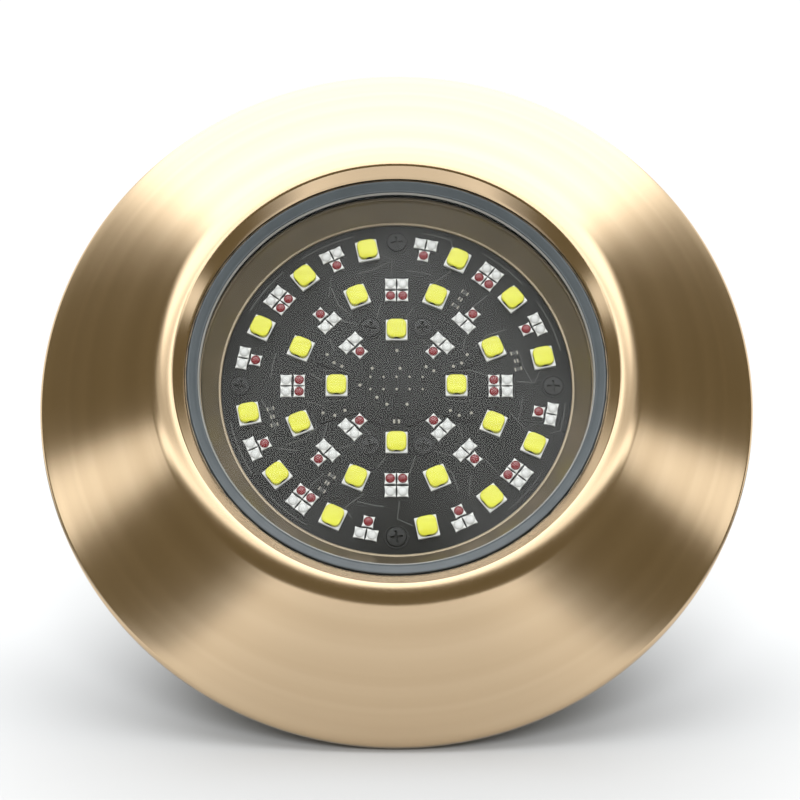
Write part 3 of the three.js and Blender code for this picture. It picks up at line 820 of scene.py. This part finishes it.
def pillow(shape, middle, degrees, size, corner, base, wall, top):
    """A rounded square dome: an upright wall, dark in the middle of each side as painted shade, under a
    soft crown.
    """
    half = size / 2
    flat = half - corner
    loop = []
    for quarter, (sx, sy) in enumerate(CORNERS):
        for k in range(5):
            x, y = polar(corner, 90 * quarter + 22.5 * k)
            loop.append((Vector((sx * flat + x, sy * flat + y)), 0.0))
        side = Matrix.Rotation(math.radians(90 * quarter), 2)
        for k in range(1, 6):
            share = k / 6
            point = side @ Vector((flat - 2 * flat * share, half))
            loop.append((point, math.sin(math.pi * share)))
    turn = Matrix.Rotation(math.radians(degrees), 2)
    loop = [(turn @ point, lift) for point, lift in loop]

    def row(share, height):
        return [
            (middle[0] + point.x * share, middle[1] + point.y * share, height(lift))
            for point, lift in loop
        ]

    def brow(lift):
        return base + (wall - base) * (0.08 + 0.92 * lift)

    rise = top - wall
    # Painted shade: the upright wall is near-black, tallest in the middle of each side.
    shape.sweep([row(1.0, lambda lift: base), row(1.0, brow)], 2, "open")
    rows = [row(1.0, brow), row(0.995, lambda lift: wall)]
    for angle in (20, 40, 58, 74):
        slope = math.radians(angle)
        height = wall + rise * 0.86 * math.sin(slope)
        rows.append(row(0.78 + 0.215 * math.cos(slope), lambda lift, height=height: height))
    rows.append(row(0.55, lambda lift: wall + rise * 0.95))
    rows.append(row(0.25, lambda lift: top))
    shape.sweep(rows, 1, "top")


def white_leds():
    shape = Shape()
    package_top = BOARD_FRONT + 0.72 * MM
    dome = (package_top - 0.02 * MM, package_top + 1.2 * MM, package_top + 1.45 * MM)
    for node in WHITE_LEDS:
        x, y = centre(node)
        degrees = math.degrees(math.atan2(y, x))
        package = rounded(box_outline(x, y, 5 * MM, 5 * MM, degrees), 0.12 * MM, 2)
        shape.prism(package, SUNK, package_top, edge=0.07 * MM)
        pillow(shape, (x, y), degrees, 4.55 * MM, 1.3 * MM, *dome)
    materials = [CERAMIC, PHOSPHOR, PAINTED_SHADE]
    build("white_led_set", shape, materials, "lamp", WHITE_LEDS, sharp=50, weld=True)


# Groups of small LEDs in one quadrant: degrees, radius of the clear pair mm, of the red ones mm,
# and how many red ones there are.
SMALL_LED_GROUPS = [
    (0, 25.4, 22.35, 2),
    (45, 15.0, 11.95, 1),
    (45, 22.0, 25.05, 1),
    (25, 36.05, 33.1, 1),
    (52, 36.05, 33.1, 2),
    (79, 36.05, 33.1, 1),
]


def scalloped(x, y, size, degrees):
    """A square package whose sides curve in a little between pointed corners."""
    half = size / 2
    points = []
    for quarter in range(4):
        turn = Matrix.Rotation(math.radians(degrees + 90 * quarter), 2)
        for along in (-1, -0.6, -0.2, 0.2, 0.6):
            inward = 0.14 * MM * (1 - along**2)
            points.append(tuple(Vector((x, y)) + turn @ Vector((half - inward, along * half))))
    return points


def small_leds():
    """Groups of two clear LEDs with one or two red ones beside them."""
    clear, red = Shape(), Shape()
    size = 2.62 * MM
    pitch = 2.84 * MM
    package_top = BOARD_FRONT + 0.55 * MM
    dome = 1.1 * MM
    wall_top = package_top + 0.12 * MM
    outline = [(dome, package_top - 0.02 * MM), (dome, wall_top)]
    for angle in (25, 45, 62, 76):
        out, up = polar(1, angle)
        outline.append((dome * out, wall_top + 0.42 * MM * up))

    def one(shape, radius, offset, degrees):
        out = Vector(polar(1, degrees))
        middle = out * radius + Vector((-out.y, out.x)) * offset
        shape.prism(scalloped(*middle, size, degrees), SUNK, package_top, edge=0.06 * MM)
        shape.cup(outline, 20, at=middle, material=1)

    pair = (-pitch / 2, pitch / 2)
    for quadrant in range(4):
        for turn, clear_radius, red_radius, reds in SMALL_LED_GROUPS:
            degrees = 90 * quadrant + turn
            for offset in pair:
                one(clear, clear_radius * MM, offset, degrees)
            for offset in pair if reds == 2 else (0,):
                one(red, red_radius * MM, offset, degrees)
    build("clear_led_set", clear, [CERAMIC, CLEAR_DOME], "lamp", sharp=50)
    build("red_led_set", red, [CERAMIC, RED_DOME], "lamp", sharp=50)


# ---- Lamp body -------------------------------------------------------------------------------
RIBS = 30
SHELL_RADIUS = 46 * MM
RIB_RADIUS = 49.2 * MM
RIB_PROFILE = (0, 0, 0, 0.2, 0.75, 0.97, 1, 1, 1, 1, 1, 1, 0.97, 0.75, 0.2, 0)
CABLE_HOLE = 8.3 * MM
BODY_LUG = (54.6 * MM, 58.8 * MM, 4.6 * MM, 7.6 * MM)  # inner radius, outer radius, back, front


def lamp_body():
    """Ribbed cup: the ribs run out in a curve at both ends, and two grooves run round the rear face."""
    rear = BODY_BACK
    # mm out from the shell, mm in front of the rear face, and how far the ribs stand out
    tail = [
        (-3.2, 0, 0), (-1.6, 0.3, 0), (-0.5, 1.1, 0), (-0.1, 1.9, 0),
        (0, 2.2, 0.15), (0, 2.8, 0.65), (0, 3.8, 0.92), (0, 5, 1),
    ]
    # the same at the front ends of the ribs, with z from the wall
    run_out = [(0, -6, 1), (0, -4.2, 0.9), (0.2, -3, 0.6)]
    flange = [(55.1, 4.6), (55.4, 4.9), (55.4, 7.3), (55.1, 7.6)]
    grooves = [
        (14.5, 0), (14.9, 0.2), (15.2, 0.8), (19, 0.8), (19.3, 0.2), (19.6, 0),
        (36.2, 0), (36.5, 0.4), (37.6, 0.4), (37.9, 0),
    ]
    mouth = 45.4 * MM
    inside = 42 * MM
    ledge = 2.5 * MM
    floor_top = rear + 4 * MM
    plain = [
        (RIB_RADIUS, -1.8 * MM),
        (RIB_RADIUS, BODY_LUG[2]),
        *[(r * MM, z * MM) for r, z in flange],
        (RIB_RADIUS, BODY_LUG[3]),
        (RIB_RADIUS, BODY_FRONT),
        (mouth, BODY_FRONT),
        (mouth, ledge),
        (inside, ledge),
        (inside, floor_top),
        (CABLE_HOLE, floor_top),
        (CABLE_HOLE, rear),
        *[(r * MM, rear + z * MM) for r, z in grooves],
    ]
    stations = [(SHELL_RADIUS + out * MM, rear + z * MM, share) for out, z, share in tail]
    stations += [(SHELL_RADIUS + out * MM, z * MM, share) for out, z, share in run_out]
    stations += [(radius, z, 0) for radius, z in plain]
    count = RIBS * len(RIB_PROFILE)
    rows = []
    for radius, z, share in stations:
        row = []
        for i in range(count):
            rib = RIB_PROFILE[i % len(RIB_PROFILE)] * share * (RIB_RADIUS - radius)
            row.append(polar(radius + rib, 360 * i / count) + (z,))
        rows.append(row)
    shape = Shape()
    shape.sweep(rows)
    for angle in LOCK_ANGLES:
        shape.sector(*BODY_LUG, angle, 26)
    mark = [(r * MM, rear + z * MM) for r, z in ((1.9, 0.3), (1.9, -0.12), (1.7, -0.18))]
    for i in range(6):
        shape.cup(mark, 24, at=polar(28 * MM, 60 * i + 30))
    build("ribbed_body", shape, [BODY_PLASTIC], "lamp", ["lamp_body"], sharp=30)


# ---- Cable gland -----------------------------------------------------------------------------
def hexagon(outer, outline, segments=72):
    """Rows of a hexagon whose corners are cut off where the (radius, z) outline is nearer."""
    flat = outer * math.cos(math.radians(30))
    rows = []
    for radius, z in outline:
        row = []
        for i in range(segments):
            degrees = 360 * i / segments
            side = flat / math.cos(math.radians(degrees % 60 - 30))
            row.append(polar(min(radius, side), degrees) + (z,))
        rows.append(row)
    return rows


def gland_nut(outer, bore):
    """The domed nut: round at the back, then six flats, and bored to clear the barrel."""
    _, back, front = span("gland_nut")
    socket_back = back + 4.2 * MM
    dome = [(6.2, 0), (7.6, 0.25), (8.9, 1.1), (9.8, 2.4), (10.1, 4), (10.15, 5)]
    flats = [
        (10.4 * MM, back + 5.05 * MM),
        (outer, back + 6.1 * MM),
        (outer, front - 0.8 * MM),
        (10.6 * MM, front),
    ]
    inside = [
        (CABLE_HOLE, front),
        (CABLE_HOLE, socket_back),
        (bore, socket_back),
        (bore, back + 0.6 * MM),
        (bore + 0.5 * MM, back),
    ]
    outside = circles([(r * MM, back + z * MM) for r, z in dome]) + hexagon(outer, flats)
    nut = Shape()
    nut.sweep(outside + circles(inside))
    build("gland_dome_nut", nut, [GLAND_PLASTIC], "lamp", ["gland_nut"], sharp=28)


def gland_body(outer, bore):
    """The barrel: a thread behind a six-sided flange, and a plain shank through the lamp body."""
    _, back, front = span("gland_body")
    shank = 8 * MM
    pitch = 1.5 * MM
    depth = 0.45 * MM
    flange_back, flange_front = -66 * MM, -61.3 * MM
    thread = []
    z = back
    while z < flange_back - 0.4 * MM:
        thread += [(shank, z), (shank - depth, z + pitch / 2)]
        z += pitch
    flange = [
        (10.6 * MM, flange_back),
        (outer, flange_back + 0.8 * MM),
        (outer, flange_front - 0.6 * MM),
        (10.9 * MM, flange_front),
    ]
    seal_seat = 6.9 * MM
    seat_front = -70 * MM
    rest = [
        (shank, flange_front),
        (shank, front),
        (bore, front),
        (bore, seat_front),
        (seal_seat, seat_front),
        (seal_seat, back),
    ]
    barrel = Shape()
    barrel.sweep(circles(thread) + hexagon(outer, flange) + circles(rest))
    build("gland_barrel", barrel, [GLAND_PLASTIC], "lamp", ["gland_body"], sharp=28)


def cable_gland():
    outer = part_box("gland_nut")[1].z
    bore = 4.5 * MM
    gland_nut(outer, bore)
    gland_body(outer, bore)
    for name, node, inner, outer, corner in (
        ("gland_seal_ring", "gland_seal", 4.4 * MM, 6.5 * MM, 0.5 * MM),
        ("gland_washer_ring", "gland_washer", CABLE_HOLE, 11 * MM, 0.25 * MM),
    ):
        _, back, front = span(node)
        outline = [(inner, back), (outer, back), (outer, front), (inner, front)]
        ring = Shape()
        ring.lathe(rounded(outline, corner), 72)
        build(name, ring, [SEAL_RUBBER], "lamp", [node])


# ---- Wall ring -------------------------------------------------------------------------------
def drill(piece, places, outline):
    """Cuts the same turned (radius, z) outline out of a piece at several (x, y) places."""
    shape = Shape()
    for at in places:
        shape.cup(outline, 48, at=at)
    cutter = add_object("cutter", make_mesh("cutter", shape))
    cut = piece.modifiers.new("holes", "BOOLEAN")
    cut.object = cutter
    cut.solver = "EXACT"
    graph = bpy.context.evaluated_depsgraph_get()
    result = bpy.data.meshes.new_from_object(piece.evaluated_get(graph))
    piece.modifiers.clear()
    piece.data = result
    bpy.data.objects.remove(cutter)
    result.set_sharp_from_angle(angle=math.radians(35))


def wall_ring():
    """The seat on the wall: a plate with four sunk screw holes, a collar, and lugs between stops."""
    throat = 55.8 * MM
    socket = 59.2 * MM
    collar = 62.4 * MM
    plate_front = 3 * MM
    shelf = 4.2 * MM
    outline = [
        (throat, WALL_BACK),
        (WALL_RADIUS, WALL_BACK),
        (WALL_RADIUS, plate_front),
        (collar, plate_front),
        (collar, WALL_FRONT),
        (socket, WALL_FRONT),
        (socket, shelf),
        (throat, shelf),
    ]
    shape = Shape()
    shape.lathe(rounded(outline, 0.5 * MM))
    piece = build("wall_seat_ring", shape, [WALL_PLASTIC], "wall_mount", ["wall_ring"])
    sink = [(2.3 * MM, -1 * MM), (2.3 * MM, 0.7 * MM), (5.6 * MM, 4 * MM)]
    drill(piece, [polar(69.5 * MM, 90 * i + 45) for i in range(4)], sink)
    lugs = Shape()
    lug = (56 * MM, 60 * MM)  # inner and outer radius
    lug_back = 7.9 * MM
    stop_back = 3.7 * MM
    for angle in LOCK_ANGLES:
        lugs.sector(*lug, lug_back, WALL_FRONT, angle, 26)
        for stop in (-15.5, 45.5):
            lugs.sector(*lug, stop_back, lug_back, angle + stop, 4, steps=3)
    build("wall_seat_lugs", lugs, [WALL_PLASTIC], "wall_mount")


# ---- Nodes that keep their CAD shape ---------------------------------------------------------
def finish_inner_nodes():
    """Gives the inner pieces, which keep the shape they have in the frame, their materials."""
    looks = {
        "clamp_ring": BRONZE_INSIDE,
        "heat_spreader": ALUMINIUM,
        "board_header": CONNECTOR_PLASTIC,
        "driver_board": DRIVER_MASK,
        "inductor": COIL_COPPER,
        "terminal_block": CONNECTOR_PLASTIC,
        "gland_locknut": GLAND_PLASTIC,
    }
    for name, count, material in (
        ("capacitor", 2, CAN_SLEEVE),
        ("clamp_screw", 4, STEEL),
        ("standoff", 3, ALUMINIUM),
    ):
        looks.update({f"{name}_{i + 1}": material for i in range(count)})
    for node, material in looks.items():
        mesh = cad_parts[node].data
        mesh.materials.clear()
        mesh.materials.append(material)


# ---- Camera, floor and light -----------------------------------------------------------------
FACE_TILT = 19.93  # degrees from the sight line up to the lamp axis
CAMERA_DISTANCE = 0.5058
CAMERA_OFFSET = (-0.00079, 0.00353)  # of the LED ring's middle from the sight line
LED_PLANE_RISE = 1.23 * MM
SENSOR = 36.0
FOCAL = 99.31
FLOOR_TILT = 9.4  # degrees by which the camera looks down on the floor

RIGHT = Vector((1, 0, 0))
UP = Vector((0, -math.sin(math.radians(FACE_TILT)), math.cos(math.radians(FACE_TILT))))
TOWARDS = Vector((0, -math.cos(math.radians(FACE_TILT)), -math.sin(math.radians(FACE_TILT))))


def camera():
    data = bpy.data.cameras.new("camera")
    data.sensor_width = SENSOR
    data.lens = FOCAL
    data.clip_start = 0.01
    target = Vector(place(0, 0, BOARD_FRONT + LED_PLANE_RISE))
    spot = target - CAMERA_OFFSET[0] * RIGHT - CAMERA_OFFSET[1] * UP + CAMERA_DISTANCE * TOWARDS
    item = add_object("camera", data)
    item.matrix_world = Matrix.Translation(spot) @ Matrix((RIGHT, UP, TOWARDS)).transposed().to_4x4()
    bpy.context.scene.camera = item


FLOOR_RADIUS = 0.42
FLOOR_SIDES = 64
FLOOR_PAINTED_SHADE_SPAN = (0.03, 0.24)  # distances from where the rim stands, for the first and last tone of the floor's painted shadow
# Painted reflection: the floor's tones as mirrors see them, near, middle and far by sideways distance,
# darker far to the sides.
FLOOR_PAINTED_TONES_IN_MIRRORS = (0.49, 0.64, 0.24)
# Painted shadow and painted light: the floor's tones as the camera sees them, darker near the rim and
# paler far off than in mirrors.
FLOOR_PAINTED_SHADOW_IN_VIEW = (0.47, 0.6, 0.65)
FLOOR_COOL = 0.022  # how much more green than red it is in view, and twice that much more blue


def painted_floor_tone(finish, distance, pales, cool):
    """Three painted tones of light and shade along a distance, with a faint speckle."""
    reach = finish.spread(distance, *FLOOR_PAINTED_SHADE_SPAN, kind="SMOOTHSTEP")
    speckle = finish.math("MULTIPLY", finish.noise(30, 2), 0.04)
    ramp = finish.node("ShaderNodeValToRGB", {0: finish.math("ADD", reach, speckle)})
    stops = ramp.color_ramp.elements
    stops.new(0.6)
    for stop, pale in zip(stops, pales):
        stop.color = (pale, pale * (1 + cool), pale * (1 + 2 * cool), 1)
    return ramp.outputs[0]


def floor():
    """A round pale floor that the rim stands on, with a painted shadow towards the rim, paler to the
    camera than in mirrors, and clear from below.
    """
    lean = math.radians(FLOOR_TILT)
    normal = UP * math.cos(lean) + TOWARDS * math.sin(lean)
    ahead = RIGHT.cross(normal)
    middle = Vector(place(0, -RIM_RADIUS, RIM_BACK)) - 0.4 * MM * normal
    loop = [polar(FLOOR_RADIUS, -360 * i / FLOOR_SIDES) for i in range(FLOOR_SIDES)]
    points = [middle + x * RIGHT + y * ahead for x, y in loop]
    mesh = bpy.data.meshes.new("floor")
    mesh.from_pydata(points, [], [tuple(range(FLOOR_SIDES))])
    item = add_object("floor", mesh)
    finish = Finish("pale_floor_painted_shadow", (0.5, 0.5, 0.5), 0.9)
    reach = finish.node("ShaderNodeVectorMath", {0: finish.place, 1: middle}, operation="DISTANCE")
    across = finish.math("ABSOLUTE", finish.split()["X"])
    # Painted light and shade: the camera sees one set of painted floor tones, mirrors another.
    shade = finish.node("ShaderNodeMixRGB", {
        "Fac": finish.node("ShaderNodeLightPath").outputs["Is Camera Ray"],
        "Color1": painted_floor_tone(finish, across, FLOOR_PAINTED_TONES_IN_MIRRORS, 0),
        "Color2": painted_floor_tone(finish, reach.outputs["Value"], FLOOR_PAINTED_SHADOW_IN_VIEW, FLOOR_COOL),
    })
    finish.link(shade.outputs[0], finish.shader.inputs["Base Color"])
    finish.set(Specular_IOR_Level=0.0)
    below = finish.node("ShaderNodeNewGeometry").outputs["Backfacing"]
    clear = finish.node("ShaderNodeBsdfTransparent").outputs[0]
    finish.surface(below, finish.shader.outputs[0], clear)
    mesh.materials.append(finish.material)


class Sky(Nodes):
    """Node maths on the direction a world ray travels, split along the camera's three axes."""

    def __init__(self, tree):
        super().__init__(tree)
        self.where = self.node("ShaderNodeTexCoord").outputs["Generated"]

    def along(self, direction):
        values = {0: self.where, 1: direction.normalized()}
        return self.node("ShaderNodeVectorMath", values, operation="DOT_PRODUCT").outputs["Value"]

    def edge(self, value, dark, full):
        """0 at `dark` and 1 at `full`, with a smooth step between."""
        ends = (0.0, 1.0) if dark < full else (1.0, 0.0)
        return self.spread(value, min(dark, full), max(dark, full), *ends, "SMOOTHSTEP")

    def spot(self, azimuth, elevation, dark, full):
        """A round soft lamp; azimuth runs from the camera to its right, elevation up, in degrees."""
        ahead, across = polar(1, azimuth)
        level, height = polar(1, elevation)
        aim = (RIGHT * across + TOWARDS * ahead) * level + UP * height
        return self.edge(self.along(aim), math.cos(math.radians(dark)), math.cos(math.radians(full)))


# The softbox overhead: slopes away from straight up at which each side is dark and full.
SOFTBOX_SIDES = (0.91, 0.6)
SOFTBOX_FRONT = (1.3, 0.86)
SOFTBOX_BACK = (-1.6, -1.1)
SOFTBOX_STRENGTH = 2.75
BEHIND = (-0.02, -0.2)  # cosines from the camera at which the glow behind the lamp is dark and full
BEHIND_STRENGTH = 1.2
ROOM_COLOR = (0.2, 0.168, 0.102)
BACKDROP_COLOR = (1.05, 1.05, 1.05)


# The low light at each side bends up to the softbox: azimuth and elevation along its middle, degrees.
SIDE_LIGHT = [(0, 42), (4, 38), (8, 34.5), (16, 30.5), (29, 25.5), (44, 22), (58, 15.5), (90, 4)]
SIDE_LIGHT_HALF = (5.8, 1.8)  # degrees from its middle to dark and to full strength
SIDE_LIGHT_END = (64, 50)  # azimuths in degrees at which it is dark and full
SIDE_LIGHT_STRENGTH = 2.7
# Round lamps: azimuth, elevation, dark and full half-angles in degrees, strength.
SIDE_LAMPS = [(67.5, 9, 9.5, 3, 1.75), (34, 37, 17, 6, 0.55)]


def side_light(sky):
    """A soft band of light that follows SIDE_LIGHT on both sides."""
    azimuth = sky.math("ARCTAN2", sky.math("ABSOLUTE", sky.along(RIGHT)), sky.along(TOWARDS))
    azimuth = sky.math("DEGREES", azimuth)
    elevation = sky.math("DEGREES", sky.math("ARCSINE", sky.along(UP)))
    middle = sky.node("ShaderNodeValToRGB", {0: sky.math("DIVIDE", azimuth, 90)})
    stops = middle.color_ramp.elements
    while len(stops) < len(SIDE_LIGHT):
        stops.new(0.5)
    for stop, (across, height) in zip(stops, SIDE_LIGHT):
        stop.position = across / 90
        stop.color = (*[height / 90] * 3, 1)
    off = sky.math("SUBTRACT", elevation, sky.math("MULTIPLY", middle.outputs["Color"], 90))
    band = sky.edge(sky.math("ABSOLUTE", off), *SIDE_LIGHT_HALF)
    band = sky.math("MULTIPLY", band, sky.edge(azimuth, *SIDE_LIGHT_END))
    return sky.math("MULTIPLY", band, SIDE_LIGHT_STRENGTH)


def softbox(sky):
    height = sky.math("MAXIMUM", sky.along(UP), 0.02)
    sideways = sky.math("DIVIDE", sky.math("ABSOLUTE", sky.along(RIGHT)), height)
    forward = sky.math("DIVIDE", sky.along(TOWARDS), height)
    box = sky.math("MULTIPLY", sky.edge(sideways, *SOFTBOX_SIDES), sky.edge(forward, *SOFTBOX_FRONT))
    box = sky.math("MULTIPLY", box, sky.edge(forward, *SOFTBOX_BACK))
    return sky.math("MULTIPLY", box, SOFTBOX_STRENGTH)


def mirrored_lights(sky):
    """A glow behind the lamp and soft lights at its sides, which only mirrors see, so that they
    add no shadows of their own."""
    behind = sky.math("MULTIPLY", sky.edge(sky.along(TOWARDS), *BEHIND), BEHIND_STRENGTH)
    lights = sky.math("MAXIMUM", behind, side_light(sky))
    for side in (-1, 1):
        for azimuth, elevation, dark, full, strength in SIDE_LAMPS:
            lamp = sky.math("MULTIPLY", sky.spot(side * azimuth, elevation, dark, full), strength)
            lights = sky.math("MAXIMUM", lights, lamp)
    return sky.math("MULTIPLY", lights, sky.node("ShaderNodeLightPath").outputs["Is Glossy Ray"])


def world_light():
    """A studio as directions: lights in a dim warm room, before a white backdrop."""
    world = bpy.data.worlds.new("studio")
    bpy.context.scene.world = world
    world.use_nodes = True
    sky = Sky(world.node_tree)
    light = sky.math("MAXIMUM", softbox(sky), mirrored_lights(sky))
    room = sky.node("ShaderNodeMixRGB", {
        "Fac": sky.math("DIVIDE", light, SOFTBOX_STRENGTH),
        "Color1": (*ROOM_COLOR, 1),
        "Color2": (*[SOFTBOX_STRENGTH] * 3, 1),
    })
    seen = sky.node("ShaderNodeMixRGB", {
        "Fac": sky.node("ShaderNodeLightPath").outputs["Is Camera Ray"],
        "Color1": room.outputs["Color"],
        "Color2": (*BACKDROP_COLOR, 1),
    })
    sky.link(seen.outputs["Color"], sky.tree.nodes["Background"].inputs["Color"])


FILL_SIZE = 0.35
FILL_POWER = 8


def fill_light():
    """A soft lamp by the camera that lights the board through the lens but shows in no mirror."""
    data = bpy.data.lights.new("fill", "AREA")
    data.shape = "DISK"
    data.size = FILL_SIZE
    data.energy = FILL_POWER
    item = add_object("fill", data)
    spot = 0.9 * TOWARDS + 0.25 * UP
    facing = spot.normalized().to_track_quat("Z", "Y").to_matrix().to_4x4()
    item.matrix_world = Matrix.Translation(spot) @ facing
    item.visible_glossy = False


camera()
floor()
world_light()
fill_light()
bpy.context.scene.view_settings.view_transform = "Standard"

trim_ring()
lens()
gasket()
funnel()
board()
centre_cap()
header_pins()
test_pads()
traces()
resistor_groups()
board_screws()
screw_wells()
white_leds()
small_leds()
lamp_body()
cable_gland()
wall_ring()
finish_inner_nodes()
